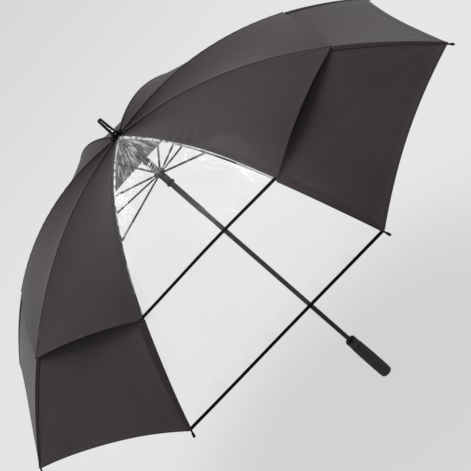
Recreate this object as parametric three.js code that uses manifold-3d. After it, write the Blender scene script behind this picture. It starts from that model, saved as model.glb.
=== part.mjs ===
// A vented golf umbrella, open: eight ribs, a double canopy with one clear gore, and a straight grip.
// Millimetres, with +Z up the shaft. The origin is the middle of the grip's flat bottom end.
// Ribs are numbered anticlockwise seen from the ferrule, and gore k lies between rib k and rib k + 1.

import * as THREE from "three";
import { mergeVertices } from "three/addons/utils/BufferGeometryUtils.js";
import Module from "manifold-3d";

// ---- Driving dimensions ----
const RIBS = 8;
const SECTOR = (2 * Math.PI) / RIBS;
const CLEAR_GORE = 8;
const CLEAR_GORE_AZIMUTH = -Math.PI / 2;
const FIT_GAP = 0.3; // between pieces that touch on the real object

// Canopy
const TIP_RADIUS = 680;
const CROWN_Z = 929;
const CANOPY_DROP = 302.6; // from the crown down to the canopy's corners
const PROFILE_POWER = 2.2; // the canopy drops as the radius to this power
const CLOTH = 0.8;
const UPPER_START = 12;
const VENT_RADIUS = 496; // the upper canopy's corners on the ribs
const VENT_RISE = 3; // how far the upper canopy stands off the lower one at its corners
const BLACK_VENT_LIFT = 12; // how much further a black gore's upper hem arches up between its corners
const CLEAR_VENT_LIFT = 2;
const ARCH_START = 230; // inside this radius the upper canopy runs straight from rib to rib
const LOWER_START = 408; // the lower canopy's hidden inner edge
const BLACK_SCALLOP = 12; // how far a black gore's hem curves in between its corners
const SEAM_GAP = 0.3;

// Ribs and stretchers
const RIB_DROP = 4; // the rib's centreline below the lower canopy
const RIB_RADIUS = 2;
const PIVOT_RADIUS = 10.5; // of the ring of pivots at the crown, and of the ring on the runner
const ROD_END = 1.8; // a rod's end past its pivot
const CLIP_RADIUS = 318; // where the stretcher's clip sits on the rib
const CLIP_DEPTH = 6.5; // its pivot below the rib's centreline
const FLEX_RADIUS = 326; // where the rib bends as the umbrella folds
const FLEX_GAP = 0.6;
const RIB_END_RADIUS = 684.5; // the rib runs out past the hem into its tip cap
const EYE_RADIUS = 2.5;
const TONGUE = 1.8;
const CHEEK = 1.3;
const CHEEK_GAP = 0.35;
const STRETCHER_RADIUS = 1.5;
const TIP_CAP_RADIUS = 2.9;
const TIP_CAP_LENGTH = 9.6;
const TIP_SOCKET = 4.5;

// Shaft, crown and ferrule
const SHAFT_RADIUS = 5.8;
const SHAFT_WALL = 0.8;
const BORE_RADIUS = SHAFT_RADIUS + FIT_GAP;
const SHAFT_BOTTOM_Z = 24;
const SHAFT_TOP_Z = 958;
const NOTCH_RADIUS = 13;
const FERRULE_TOP_Z = 986;
const FERRULE_BASE_Z = 935;

// Runner: heights from its ring of pivots
const RUNNER_RING_TOP = 4.2;
const RUNNER_RING_BOTTOM = -4.6;
const RUNNER_TAIL_END = -142;
const SLEEVE_RADIUS = 8.5;
const FLANGE_RADIUS = 10.5;
const TAIL_RADIUS = 6.9;

// Handle
const COLLAR_Z = 120;
const COLLAR_TOP_Z = 142;
const COLLAR_RADIUS = 14.1;
const GRIP_RADIUS = 15;
const BUTTON_Z = 131.5;
const BUTTON_WIDTH = 9;
const BUTTON_HEIGHT = 13;
const BUTTON_BACK = 11; // from the shaft's axis
const BUTTON_FACE = 15.4;
const POCKET_FLOOR = 8;

// ---- Places worked out from them ----
const firstRibAzimuth = CLEAR_GORE_AZIMUTH + SECTOR / 2;
const pivotZ = CROWN_Z - RIB_DROP;
const clip = clipPivot();
// The rib and the stretcher are one isosceles pair, so the runner is as far below the clip as the crown is above.
const runnerZ = 2 * clip.z - pivotZ;

const umbrella = new THREE.Group();

function canopyDrop(radius) {
  return CANOPY_DROP * (radius / TIP_RADIUS) ** PROFILE_POWER;
}

function canopySlope(radius) {
  return Math.atan((PROFILE_POWER * canopyDrop(radius)) / radius);
}

// The stretcher's pivot on a rib, in the rib's own plane.
function clipPivot() {
  const slope = canopySlope(CLIP_RADIUS);
  const x = CLIP_RADIUS - CLIP_DEPTH * Math.sin(slope);
  const z = pivotZ - canopyDrop(CLIP_RADIUS) - CLIP_DEPTH * Math.cos(slope);
  return new THREE.Vector3(x, 0, z);
}

// ---- Materials ----
const plastic = (color, roughness) =>
  new THREE.MeshStandardMaterial({ color, roughness, metalness: 0 });
const cloth = plastic(0x3a3638, 0.9);
const clearFilm = new THREE.MeshStandardMaterial({
  color: 0xeef2f4,
  roughness: 0.1,
  metalness: 0,
  transparent: true,
  opacity: 0.25,
});
const rodBlack = plastic(0x161617, 0.45);
const shaftBlack = plastic(0x1c1c1d, 0.4);
const gloss = plastic(0x0d0d0e, 0.2);
const gripFoam = plastic(0x262324, 0.85);
const collarBlack = plastic(0x19191a, 0.5);
const buttonGrey = plastic(0x3b3b3d, 0.5);
const steel = new THREE.MeshStandardMaterial({ color: 0xd8dadc, roughness: 0.25, metalness: 1 });

// ---- Shape helpers ----
const wasm = await Module();
wasm.setup();

function solid(geometry) {
  const bare = geometry.clone();
  bare.deleteAttribute("normal");
  bare.deleteAttribute("uv");
  const merged = mergeVertices(bare, 1e-4);
  const mesh = new wasm.Mesh({
    numProp: 3,
    vertProperties: merged.attributes.position.array,
    triVerts: new Uint32Array(merged.index.array),
  });
  return new wasm.Manifold(mesh);
}

function surface(manifold) {
  const mesh = manifold.getMesh();
  const geometry = new THREE.BufferGeometry();
  geometry.setAttribute("position", new THREE.BufferAttribute(mesh.vertProperties, 3));
  geometry.setIndex(new THREE.BufferAttribute(mesh.triVerts, 1));
  return geometry;
}

const join = (...geometries) => surface(geometries.map(solid).reduce((a, b) => a.add(b)));
const cut = (body, ...tools) => surface(tools.map(solid).reduce((a, b) => a.subtract(b), solid(body)));

// A profile of [radius, height] points turned about +Z.
function turned(profile, segments) {
  const points = profile.map(([radius, height]) => new THREE.Vector2(radius, height));
  return new THREE.LatheGeometry(points, segments).rotateX(Math.PI / 2);
}

function tube(inner, outer, bottom, top, segments) {
  const wall = [[inner, bottom], [outer, bottom], [outer, top], [inner, top], [inner, bottom]];
  return turned(wall, segments);
}

function rod(path, radius, steps, sides) {
  const section = new THREE.Shape().absarc(0, 0, radius, 0, 2 * Math.PI, false);
  return new THREE.ExtrudeGeometry(section, {
    steps,
    curveSegments: sides,
    bevelEnabled: false,
    extrudePath: path,
  });
}

// A flat outline given in the X-Z plane, with its thickness along Y from `from` to `to`.
function plate(outline, from, to) {
  const flat = new THREE.ExtrudeGeometry(outline, {
    depth: to - from,
    curveSegments: 5,
    bevelEnabled: false,
  });
  return flat.translate(0, 0, -to).rotateX(Math.PI / 2);
}

function add(name, geometry, material, azimuth = 0) {
  const mesh = new THREE.Mesh(geometry, material);
  mesh.name = name;
  mesh.rotation.z = azimuth;
  umbrella.add(mesh);
}

// ---- Canopy ----
// One gore, drawn about +X. Along it the cloth follows the ribs' curve, and across it runs straight
// from rib to rib. `hemRadius` and `rise` take the place across the gore, from -1 to 1.
function gore(start, hemRadius, rise, rows, columns) {
  const sheet = new THREE.BoxGeometry(1, 2, 1, rows, columns, 1).translate(0.5, 0, 0);
  const at = sheet.attributes.position;
  for (let i = 0; i < at.count; i++) {
    const across = at.getY(i);
    const radius = start + at.getX(i) * (hemRadius(across) - start);
    const halfWidth = radius * Math.sin(SECTOR / 2) - SEAM_GAP;
    const height = CROWN_Z - canopyDrop(radius) + rise(radius, across) + at.getZ(i) * CLOTH;
    at.setXYZ(i, radius * Math.cos(SECTOR / 2), across * halfWidth, height);
  }
  return sheet;
}

function upperGore(lift) {
  const rise = (radius, across) => {
    const arched = Math.max(0, (radius - ARCH_START) / (VENT_RADIUS - ARCH_START));
    return VENT_RISE * (radius / VENT_RADIUS) ** 2 + lift * (1 - across ** 2) * arched ** 2;
  };
  return gore(UPPER_START, () => VENT_RADIUS, rise, 9, 6);
}

function lowerGore(scallop) {
  const hemRadius = (across) => TIP_RADIUS - scallop * (1 - across ** 2);
  return gore(LOWER_START, hemRadius, () => 0, 6, 6);
}

function addGores() {
  for (let k = 1; k <= RIBS; k++) {
    const azimuth = firstRibAzimuth + (k - 0.5) * SECTOR;
    const clear = k === CLEAR_GORE;
    const material = clear ? clearFilm : cloth;
    add(`upper_gore_${k}`, upperGore(clear ? CLEAR_VENT_LIFT : BLACK_VENT_LIFT), material, azimuth);
    add(`lower_gore_${k}`, lowerGore(clear ? 0 : BLACK_SCALLOP), material, azimuth);
  }
}

// ---- Ribs ----
class RibCurve extends THREE.Curve {
  constructor(from, to) {
    super();
    this.from = from;
    this.to = to;
  }
  getPoint(t, target = new THREE.Vector3()) {
    const radius = this.from + t * (this.to - this.from);
    return target.set(radius, 0, pivotZ - canopyDrop(radius));
  }
}

// The clip's tongue hangs from the rib and ends in an eye.
function clipTongue() {
  const outline = new THREE.Shape();
  outline.moveTo(2 * EYE_RADIUS, CLIP_DEPTH);
  outline.lineTo(-2 * EYE_RADIUS, CLIP_DEPTH);
  outline.lineTo(-EYE_RADIUS, 0);
  outline.absarc(0, 0, EYE_RADIUS, -Math.PI, 0, false);
  const tongue = plate(outline, -TONGUE / 2, TONGUE / 2);
  return tongue.rotateY(canopySlope(CLIP_RADIUS)).translate(clip.x, 0, clip.z);
}

function innerRib() {
  const path = new RibCurve(PIVOT_RADIUS - ROD_END, FLEX_RADIUS - FLEX_GAP);
  return join(rod(path, RIB_RADIUS, 8, 4), clipTongue());
}

function outerRib() {
  return rod(new RibCurve(FLEX_RADIUS + FLEX_GAP, RIB_END_RADIUS), RIB_RADIUS, 9, 4);
}

// A cap with a socket for the rib's end, along the rib's last direction.
function ribTip() {
  const socket = RIB_RADIUS + FIT_GAP;
  const cap = turned(
    [
      [0, 0],
      [socket, 0],
      [socket, -TIP_SOCKET],
      [TIP_CAP_RADIUS, -TIP_SOCKET],
      [TIP_CAP_RADIUS, TIP_CAP_LENGTH - TIP_SOCKET - 3],
      [TIP_CAP_RADIUS / 2, TIP_CAP_LENGTH - TIP_SOCKET],
      [0, TIP_CAP_LENGTH - TIP_SOCKET],
    ],
    10,
  );
  const slope = canopySlope(RIB_END_RADIUS);
  cap.rotateY(Math.PI / 2 + slope);
  const x = RIB_END_RADIUS + FIT_GAP * Math.cos(slope);
  const z = pivotZ - canopyDrop(RIB_END_RADIUS) - FIT_GAP * Math.sin(slope);
  return cap.translate(x, 0, z);
}

// Drawn along +X from the clip's pivot, then turned down towards the runner.
function stretcher() {
  const reach = Math.hypot(clip.x - PIVOT_RADIUS, clip.z - runnerZ);
  const bridgeStart = 7;
  const bridgeEnd = 12;
  const inside = TONGUE / 2 + CHEEK_GAP;
  const cheek = new THREE.Shape();
  cheek.absarc(0, 0, EYE_RADIUS, Math.PI / 2, (3 * Math.PI) / 2, false);
  cheek.lineTo(bridgeEnd, -EYE_RADIUS + 0.5);
  cheek.lineTo(bridgeEnd, EYE_RADIUS - 0.5);
  const bridge = new THREE.BoxGeometry(bridgeEnd - bridgeStart, 2 * inside + CHEEK, 2 * STRETCHER_RADIUS);
  bridge.translate((bridgeStart + bridgeEnd) / 2, 0, 0);
  const line = new THREE.LineCurve3(
    new THREE.Vector3(bridgeEnd - 2, 0, 0),
    new THREE.Vector3(reach + ROD_END, 0, 0),
  );
  const body = join(
    plate(cheek, inside, inside + CHEEK),
    plate(cheek, -inside - CHEEK, -inside),
    bridge,
    rod(line, STRETCHER_RADIUS, 1, 4),
  );
  const fall = Math.atan2(clip.z - runnerZ, clip.x - PIVOT_RADIUS);
  return body.rotateY(Math.PI - fall).translate(clip.x, 0, clip.z);
}

function addRibs() {
  for (let k = 1; k <= RIBS; k++) {
    const azimuth = firstRibAzimuth + (k - 1) * SECTOR;
    add(`rib_inner_${k}`, innerRib(), rodBlack, azimuth);
    add(`rib_outer_${k}`, outerRib(), rodBlack, azimuth);
    add(`rib_tip_${k}`, ribTip(), gloss, azimuth);
    add(`stretcher_${k}`, stretcher(), rodBlack, azimuth);
  }
}

// ---- Crown, shaft and runner ----
// Cuts one radial slot for each rib through a ring round the shaft.
function slotted(ring, slotStart, slotWidth, height) {
  const reach = 2 * NOTCH_RADIUS;
  const slots = [];
  for (let k = 0; k < RIBS; k++) {
    const slot = new THREE.BoxGeometry(reach, slotWidth, 2 * NOTCH_RADIUS);
    slot.translate(slotStart + reach / 2, 0, height).rotateZ(firstRibAzimuth + k * SECTOR);
    slots.push(slot);
  }
  return cut(ring, ...slots);
}

function crownNotch() {
  const ring = tube(BORE_RADIUS, NOTCH_RADIUS, pivotZ - 3.5, CROWN_Z - CLOTH, 32);
  return slotted(ring, PIVOT_RADIUS - 3.1, 2 * RIB_RADIUS + 0.8, pivotZ);
}

function crownCap() {
  const bottom = CROWN_Z + CLOTH + FIT_GAP;
  const profile = [
    [BORE_RADIUS, bottom],
    [14, bottom],
    [14.5, bottom + 1],
    [11, bottom + 3],
    [BORE_RADIUS, bottom + 4],
    [BORE_RADIUS, bottom],
  ];
  return turned(profile, 24);
}

function ferrule() {
  const profile = [
    [0, SHAFT_TOP_Z + FIT_GAP],
    [BORE_RADIUS, SHAFT_TOP_Z + FIT_GAP],
    [BORE_RADIUS, FERRULE_BASE_Z],
    [9, FERRULE_BASE_Z],
    [9, FERRULE_BASE_Z + 5],
    [7.4, FERRULE_BASE_Z + 9],
    [5.9, FERRULE_TOP_Z - 2],
    [4.4, FERRULE_TOP_Z],
    [0, FERRULE_TOP_Z],
  ];
  return turned(profile, 20);
}

class Helix extends THREE.Curve {
  constructor(radius, turns, height) {
    super();
    this.radius = radius;
    this.turns = turns;
    this.height = height;
  }
  getPoint(t, target = new THREE.Vector3()) {
    const angle = 2 * Math.PI * this.turns * t;
    return target.set(this.radius * Math.cos(angle), this.radius * Math.sin(angle), this.height * t);
  }
}

function addShaft() {
  const shaft = tube(SHAFT_RADIUS - SHAFT_WALL, SHAFT_RADIUS, SHAFT_BOTTOM_Z, SHAFT_TOP_Z, 24);
  add("shaft", shaft, shaftBlack);
  add("crown_notch", crownNotch(), collarBlack);
  add("crown_cap", crownCap(), cloth);
  add("ferrule", ferrule(), gloss);
  const springZ = runnerZ + RUNNER_RING_TOP + 2;
  const springHeight = 31;
  const spring = rod(new Helix(7.9, 4, springHeight), 0.8, 56, 3).translate(0, 0, springZ);
  add("buffer_spring", spring, steel);
  const stopZ = springZ + springHeight + 1.2;
  add("stop_ring", tube(BORE_RADIUS, 9, stopZ, stopZ + 5, 20), collarBlack);
}

function runnerSleeve() {
  const profile = [
    [BORE_RADIUS, RUNNER_RING_BOTTOM - FIT_GAP],
    [BORE_RADIUS, RUNNER_TAIL_END],
    [TAIL_RADIUS, RUNNER_TAIL_END],
    [TAIL_RADIUS, -40],
    [FLANGE_RADIUS, -38],
    [FLANGE_RADIUS, -34.5],
    [SLEEVE_RADIUS, -33],
    [SLEEVE_RADIUS, RUNNER_RING_BOTTOM - FIT_GAP],
    [BORE_RADIUS, RUNNER_RING_BOTTOM - FIT_GAP],
  ];
  return turned(profile, 20).translate(0, 0, runnerZ);
}

function addRunner() {
  const ring = tube(
    BORE_RADIUS,
    NOTCH_RADIUS,
    runnerZ + RUNNER_RING_BOTTOM,
    runnerZ + RUNNER_RING_TOP,
    32,
  );
  const collar = slotted(ring, PIVOT_RADIUS - 2.6, 2 * STRETCHER_RADIUS + 0.7, runnerZ);
  add("runner_collar", collar, collarBlack);
  add("runner_sleeve", runnerSleeve(), collarBlack);
}

// ---- Handle ----
function grip() {
  const top = COLLAR_Z - FIT_GAP;
  const floor = SHAFT_BOTTOM_Z - FIT_GAP;
  const profile = [
    [0, 0],
    [12.8, 0],
    [14.6, 1.8],
    [GRIP_RADIUS + 0.4, 7],
    [GRIP_RADIUS + 0.8, 60],
    [GRIP_RADIUS - 0.6, top - 2],
    [GRIP_RADIUS - 1.6, top],
    [BORE_RADIUS, top],
    [BORE_RADIUS, floor],
    [0, floor],
  ];
  return turned(profile, 28);
}

function collar() {
  const profile = [
    [BORE_RADIUS, COLLAR_Z],
    [COLLAR_RADIUS + 0.4, COLLAR_Z],
    [COLLAR_RADIUS, COLLAR_Z + 3],
    [COLLAR_RADIUS, COLLAR_TOP_Z - 2],
    [COLLAR_RADIUS - 1.5, COLLAR_TOP_Z],
    [BORE_RADIUS, COLLAR_TOP_Z],
    [BORE_RADIUS, COLLAR_Z],
  ];
  const depth = 2 * COLLAR_RADIUS;
  const pocket = new THREE.BoxGeometry(BUTTON_WIDTH + 0.8, depth, BUTTON_HEIGHT + 0.8);
  pocket.translate(0, -POCKET_FLOOR - depth / 2, BUTTON_Z);
  return cut(turned(profile, 28), pocket);
}

// A rounded rectangle that faces -Y, with its back BUTTON_BACK from the axis.
function button() {
  const bevel = 0.8;
  const corner = 1.5;
  const x = BUTTON_WIDTH / 2 - bevel - corner;
  const z = BUTTON_HEIGHT / 2 - bevel - corner;
  const outline = new THREE.Shape();
  outline.absarc(x, z, corner, 0, Math.PI / 2, false);
  outline.absarc(-x, z, corner, Math.PI / 2, Math.PI, false);
  outline.absarc(-x, -z, corner, Math.PI, (3 * Math.PI) / 2, false);
  outline.absarc(x, -z, corner, (3 * Math.PI) / 2, 2 * Math.PI, false);
  const block = new THREE.ExtrudeGeometry(outline, {
    depth: BUTTON_FACE - BUTTON_BACK - 2 * bevel,
    curveSegments: 3,
    bevelEnabled: true,
    bevelThickness: bevel,
    bevelSize: bevel,
    bevelSegments: 1,
  });
  block.rotateX(Math.PI / 2);
  return block.translate(0, -BUTTON_BACK - bevel, BUTTON_Z);
}

function addHandle() {
  add("handle_grip", grip(), gripFoam);
  add("handle_collar", collar(), collarBlack);
  add("release_button", button(), buttonGrey);
  const wire = 0.35;
  const room = BUTTON_BACK - POCKET_FLOOR - 2 * (wire + FIT_GAP);
  const spring = rod(new Helix(2.4, 2.5, room), wire, 30, 2).rotateX(Math.PI / 2);
  add("button_spring", spring.translate(0, -POCKET_FLOOR - wire - FIT_GAP, BUTTON_Z), steel);
}

addShaft();
addRunner();
addHandle();
addRibs();
addGores();

export default umbrella;
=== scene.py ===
"""The golf umbrella's visual model: black cloth with one clear gore, in the CAD model's frame, in metres."""
import math

import bmesh
import bpy
import numpy as np
from mathutils import Matrix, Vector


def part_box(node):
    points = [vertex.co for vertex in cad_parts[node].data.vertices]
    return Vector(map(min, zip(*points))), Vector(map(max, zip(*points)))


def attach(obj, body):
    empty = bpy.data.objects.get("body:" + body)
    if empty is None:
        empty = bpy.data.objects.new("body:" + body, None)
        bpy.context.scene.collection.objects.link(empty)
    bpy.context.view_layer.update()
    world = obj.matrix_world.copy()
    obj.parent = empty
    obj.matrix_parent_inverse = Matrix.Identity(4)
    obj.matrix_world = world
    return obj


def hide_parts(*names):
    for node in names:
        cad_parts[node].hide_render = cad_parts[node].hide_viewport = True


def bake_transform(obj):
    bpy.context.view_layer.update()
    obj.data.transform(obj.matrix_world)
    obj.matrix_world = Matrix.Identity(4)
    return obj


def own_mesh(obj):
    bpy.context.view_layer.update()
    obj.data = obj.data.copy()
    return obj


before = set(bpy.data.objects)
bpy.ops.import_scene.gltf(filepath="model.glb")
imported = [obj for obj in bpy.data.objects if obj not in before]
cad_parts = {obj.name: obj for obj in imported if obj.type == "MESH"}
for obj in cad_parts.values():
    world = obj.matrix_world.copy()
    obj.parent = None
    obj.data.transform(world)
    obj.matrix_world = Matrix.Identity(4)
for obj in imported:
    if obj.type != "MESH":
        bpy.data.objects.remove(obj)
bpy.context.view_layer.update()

# ---- Sizes that repeat the CAD model's ----
MM = 0.001
RIBS = 8
CLEAR = 8
SECTOR = math.tau / RIBS
HALF = SECTOR / 2
FIRST_RIB = -math.pi / 2 + HALF
CROWN_Z = 0.929
CANOPY_DROP = 0.3026
TIP_RADIUS = 0.680
PROFILE_POWER = 2.2
UPPER_START = 0.012
VENT_RADIUS = 0.496
VENT_RISE = 0.003
ARCH_START = 0.230
BLACK_VENT_LIFT = 0.012
CLEAR_VENT_LIFT = 0.002
LOWER_START = 0.408
BLACK_SCALLOP = 0.012
SEAM_GAP = 0.0003
RIB_DROP = 0.004
RIB_RADIUS = 0.002
PIVOT_RADIUS = 0.0105
PIVOT_Z = CROWN_Z - RIB_DROP
CLIP_RADIUS = 0.318
CLIP_DEPTH = 0.0065
RIB_END_RADIUS = 0.6845
RUNNER_Z = 0.799213
BORE_RADIUS = 0.0061
TIP_CAP_RADIUS = 0.0029
BUTTON_Z = 0.1315
BUTTON_HALF_WIDTH = 0.0045
BUTTON_HALF_HEIGHT = 0.0065

# ---- Small parts ----
TIP_CAP_START = 0.0042  # how far the cap reaches back over the rib's end
CLIP_START = 0.3115
CLIP_END = 0.3215
CLIP_SADDLE_RADIUS = 0.0024
RIVET_LENGTH = 0.0062
RIVET_RADIUS = 0.0011
EYE_RADIUS = 0.0015
CHEEK_SHIFT = 0.0019
SPRING_WIRE_RADIUS = 0.00115
SPRING_RADIUS = 0.0079
SPRING_TURNS = 6
SPRING_END_TURNS = 0.9  # each end is wound nearly flat over this much of a turn
SPRING_END_RISE = 0.0016
RING_WIRE_RADIUS = 0.0006

# ---- Soft parts ----
CLOTH = 0.00025
FILM = 0.0003
HEM = 0.008
HEM_THICKNESS = 0.0007
STITCH_ROWS = (0.0034, 0.0064)  # their distances from the hem's edge
STITCH_LENGTH = 0.0028
GORE_COLUMNS = 56
UPPER_ROWS = 84
LOWER_ROWS = 50
UPPER_SAGS = {1: 0.0165, 2: 0.022, 3: 0.024, 4: 0.024, 5: 0.020, 6: 0.018, 7: 0.0165, 8: 0.006}
LOWER_SAG = 0.010
FILM_SAG = 0.006
PUCKER_HEIGHT = 0.00022
PUCKER_REACH = 0.011
PUCKER_LENGTH = 0.023
CORNER_CREASE = {"film": 0.0007, "upper": 0.0010, "lower": 0.0013}
CROWN_CREASE = {"film": 0.0012, "upper": 0.0007}
FOLD_HEIGHT = 0.0034
FOLD_RADIUS = 0.265  # the middle of the folds beside rib 1
SLACK_HEIGHT = 0.0014
SEAM_START = 0.0145
SEAM_WIDTH = 0.0036
SEAM_THICKNESS = 0.0004
SEAM_LOOSE = 0.006
SLEEVE_TOP_WIDTH = 0.0225
SLEEVE_END_WIDTH = 0.011
SLEEVE_END_RADIUS = 0.6805
SLEEVE_THICKNESS = 0.0005
STRIP_COLUMNS = 9
TACK_LENGTH = 0.007
TACK_RADIUS = 0.0008
BINDINGS = {"upper": 0.0056, "lower": 0.0044}
BINDING_THICKNESS = 0.0011
ROSETTE_THICKNESS = 0.0005
ROSETTES = {
    "lower": {"reach": 0.0172, "height": 0.9326, "ruffles": 9, "phase": 0.4},
    "upper": {"reach": 0.0150, "height": 0.9352, "ruffles": 7, "phase": 1.9},
}
CLOTH_COLOUR = (0.0395, 0.0295, 0.0365)
# The cloth's underside is lighter than its top: painted light, standing for the light that shows through the
# thin cloth from above.
CLOTH_UNDER_COLOUR = (0.086, 0.080, 0.083)

# ---- Camera, light and shading ----
CAMERA_AT = (0.291, -2.712, 1.765)
CAMERA_RIGHT = (0.6876, -0.2341, -0.6874)
CAMERA_UP = (0.7200, 0.3438, 0.6029)
CAMERA_BACK = (0.0952, -0.9094, 0.4049)
CAMERA_LENS = 98.1
LIGHTS = {
    "key": {"at": (0.5, 1.5, 4.6), "towards": (0, 0, 0.6), "size": 2.8, "power": 150, "spread": 180},
    "strip": {"at": (0.52, -2.09, 0.504), "towards": (0, 0, 0.965), "size": 0.2, "power": 0.35, "spread": 6},
}
SKY_STRENGTH = 0.36
FLOOR_REACH = 16
FLOOR_Z = -0.0005
SHARP_ANGLE = math.radians(40)


# ---- Canopy geometry ----
def canopy_drop(radius):
    return CANOPY_DROP * (radius / TIP_RADIUS) ** PROFILE_POWER


def canopy_slope(radius):
    return np.arctan(PROFILE_POWER * canopy_drop(radius) / radius)


def rib_azimuth(k):
    return FIRST_RIB + (k - 1) * SECTOR


def gore_azimuth(k):
    return rib_azimuth(k) + HALF


def turned_to(points, azimuth):
    """Points drawn about +X, turned about the shaft to an azimuth."""
    points = np.asarray(points, float)
    c, s = math.cos(azimuth), math.sin(azimuth)
    x, y, z = points[..., 0], points[..., 1], points[..., 2]
    return np.stack([x * c - y * s, x * s + y * c, z], -1)


def rib_point(radius, azimuth):
    """A point on a rib's centreline."""
    return turned_to((radius, 0, PIVOT_Z - canopy_drop(radius)), azimuth)


def below_rib(depth):
    """A point at the clip that far below the rib's centreline, drawn about +X."""
    slope = canopy_slope(CLIP_RADIUS)
    x = CLIP_RADIUS - depth * math.sin(slope)
    z = PIVOT_Z - canopy_drop(CLIP_RADIUS) - depth * math.cos(slope)
    return x, 0, z


# ---- Mesh tools ----
def mesh_object(name, vertices, faces, material, cut=None, edge=None):
    """A smooth-shaded object.

    `cut` is each vertex's place in metres on the flat cut, and `edge` its distance from the cut's edge.
    """
    mesh = bpy.data.meshes.new(name)
    mesh.from_pydata(np.asarray(vertices, float).reshape(-1, 3).tolist(), [], faces)
    mesh.materials.append(material)
    if cut is not None:
        loops = np.empty(len(mesh.loops), np.int32)
        mesh.loops.foreach_get("vertex_index", loops)
        layer = mesh.uv_layers.new(name="cut")
        layer.data.foreach_set("uv", np.asarray(cut, np.float32)[loops].ravel())
    if edge is not None:
        attribute = mesh.attributes.new("edge", "FLOAT", "POINT")
        attribute.data.foreach_set("value", np.asarray(edge, np.float32).ravel())
    outward(mesh)
    mesh.shade_smooth()
    mesh.set_sharp_from_angle(angle=SHARP_ANGLE)
    piece = bpy.data.objects.new(name, mesh)
    bpy.context.scene.collection.objects.link(piece)
    return piece


def outward(mesh):
    bm = bmesh.new()
    bm.from_mesh(mesh)
    bmesh.ops.recalc_face_normals(bm, faces=bm.faces)
    bm.to_mesh(mesh)
    bm.free()


def grid_normals(grid, wrap):
    """The unit normal at each point of a grid of points."""
    down = np.gradient(grid, axis=0)
    if wrap:
        along = np.roll(grid, -1, 1) - np.roll(grid, 1, 1)
    else:
        along = np.gradient(grid, axis=1)
    normals = np.cross(down, along)
    return normals / np.linalg.norm(normals, axis=-1, keepdims=True)


def shell(name, grid, thickness, material, cut=None, edge=None, wrap=False):
    """A closed thin sheet round a grid of points. `wrap` joins its last column to its first."""
    rows, columns = grid.shape[:2]
    offset = grid_normals(grid, wrap) * np.broadcast_to(thickness, (rows, columns))[..., None] / 2
    vertices = np.concatenate([(grid + offset).reshape(-1, 3), (grid - offset).reshape(-1, 3)])
    index = np.arange(rows * columns).reshape(rows, columns)
    under = rows * columns
    nexts = np.roll(index, -1, 1) if wrap else index[:, 1:]
    here = index if wrap else index[:, :-1]
    faces = []
    for a, b, c, d in zip(here[:-1].ravel(), here[1:].ravel(), nexts[1:].ravel(), nexts[:-1].ravel()):
        faces.append((a, b, c, d))
        faces.append((d + under, c + under, b + under, a + under))
    for line in border_lines(index, wrap):
        for a, b in zip(line[:-1], line[1:]):
            faces.append((a, a + under, b + under, b))
    faces = [tuple(int(v) for v in face) for face in faces]
    if cut is not None:
        cut = np.concatenate([cut.reshape(-1, 2)] * 2)
    if edge is not None:
        edge = np.concatenate([edge.ravel()] * 2)
    return mesh_object(name, vertices, faces, material, cut, edge)


def line_underside(sheet, material):
    """The faces of a shell's lower skin take a material of their own."""
    mesh = sheet.data
    mesh.materials.append(material)
    under = len(mesh.vertices) // 2
    for face in mesh.polygons:
        face.material_index = int(min(face.vertices) >= under)


def border_lines(index, wrap):
    """The rows of vertices that a sheet's two skins are joined along."""
    if wrap:
        return [np.append(index[0], index[0, 0]), np.append(index[-1], index[-1, 0])]
    return [index[0], index[-1], index[:, 0], index[:, -1]]


def sweep(name, path, section, side, material, scales=None):
    """A closed bar: a section of (sideways, up) points carried along a path."""
    path = np.asarray(path, float)
    section = np.asarray(section, float)
    scales = np.ones(len(path)) if scales is None else np.asarray(scales, float)
    tangents = np.gradient(path, axis=0)
    tangents /= np.linalg.norm(tangents, axis=1, keepdims=True)
    side = np.asarray(side, float)
    sides = side - tangents * (tangents @ side)[:, None]
    sides /= np.linalg.norm(sides, axis=1, keepdims=True)
    ups = np.cross(sides, tangents)
    rings = path[:, None] + scales[:, None, None] * (
        section[None, :, 0, None] * sides[:, None] + section[None, :, 1, None] * ups[:, None]
    )
    return stack(name, rings, material)


def stack(name, rings, material, closed=False):
    """A skin over a row of rings. It ends in flat caps, or joins its last ring to its first."""
    count, around = rings.shape[:2]
    faces = []
    for i in range(count if closed else count - 1):
        first, second = i * around, (i + 1) % count * around
        for j in range(around):
            after = (j + 1) % around
            faces.append((first + j, first + after, second + after, second + j))
    if not closed:
        faces.append(tuple(range(around)))
        faces.append(tuple(range((count - 1) * around, count * around)))
    return mesh_object(name, rings, faces, material)


def circle(radius, sides):
    angles = np.arange(sides) * math.tau / sides
    return np.stack([radius * np.cos(angles), radius * np.sin(angles)], -1)


def eased(outline, reach, steps=3):
    """Rounds an outline's corners, starting `reach` before each."""
    outline = [np.asarray(point, float) for point in outline]
    result = [outline[0]]
    for before, corner, after in zip(outline, outline[1:], outline[2:]):
        ends = []
        for other in (before, after):
            way = other - corner
            length = np.linalg.norm(way)
            ends.append(corner + way * min(reach, length / 2.2) / length)
        for step in range(steps + 1):
            t = step / steps
            result.append((1 - t) ** 2 * ends[0] + 2 * t * (1 - t) * corner + t**2 * ends[1])
    result.append(outline[-1])
    return result


def lathe(name, profile, material, segments=64, closed=False):
    """Turns a profile of (radius, height) points in millimetres about the shaft's axis."""
    profile = np.asarray(profile, float) * MM
    angles = np.arange(segments) * math.tau / segments
    x = profile[:, 0, None] * np.cos(angles)
    y = profile[:, 0, None] * np.sin(angles)
    z = np.broadcast_to(profile[:, 1, None], x.shape)
    return stack(name, np.stack([x, y, z], -1), material, closed)


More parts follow.
